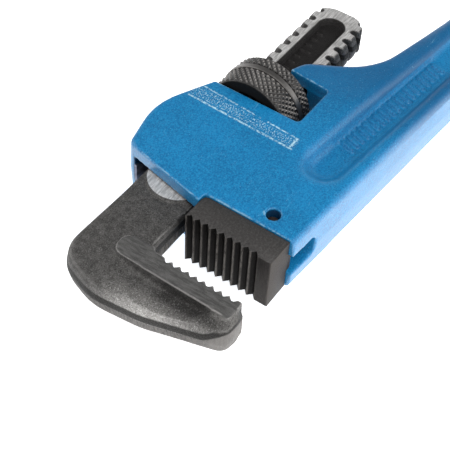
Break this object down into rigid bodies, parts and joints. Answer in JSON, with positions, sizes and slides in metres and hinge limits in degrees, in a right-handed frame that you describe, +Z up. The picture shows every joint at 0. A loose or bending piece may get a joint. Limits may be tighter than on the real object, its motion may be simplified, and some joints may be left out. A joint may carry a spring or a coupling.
{
  "type": "pipe wrench",
  "caption": "Adjustable pipe wrench with a toothed hook jaw, a pinned heel jaw, a knurled screw nut and a painted I-section handle.",
  "frame": {"origin": "centre of the whole wrench's box in plan, at its lowest point, with the wrench lying on its side", "axes": "+X along the shank from the hook jaw to the handle's end, +Y from the mouth towards the adjusting nut's side, +Z up through the thickness"},
  "size_m": [0.3498, 0.1068, 0.0388],
  "materials": {
    "blue_paint": "glossy paint with a fine metallic grain over a casting",
    "hardened_steel": "dark hardened steel, ground",
    "forged_steel": "dark forging scale with ground flats",
    "blackened_steel": "blackened, knurled",
    "bright_steel": "bright turned steel",
    "spring_steel": "blued spring steel"
  },
  "bodies": {
    "handle_body": {"handle": "blue_paint", "heel_jaw": "hardened_steel", "heel_jaw_pin": "bright_steel", "flat_spring": "spring_steel", "coil_spring": "spring_steel", "spring_rivet": "bright_steel"},
    "nut": {"adjusting_nut": "blackened_steel"},
    "hook": {"hook_jaw": "forged_steel"}
  },
  "joints": [
    {"name": "nut_spin", "type": "hinge", "parent": "handle_body", "child": "nut", "pos_m": [-0.05849, 0.02642, 0.0194], "axis": [1, 0, 0], "range_deg": [-860, 2325]},
    {"name": "jaw_slide", "type": "slide", "parent": "handle_body", "child": "hook", "axis": [1, 0, 0], "range_m": [-0.045, 0.0165]}
  ],
  "couplings": [
    {"joint": "nut_spin", "follows": "jaw_slide", "rad_per_m": -897.6}
  ]
}
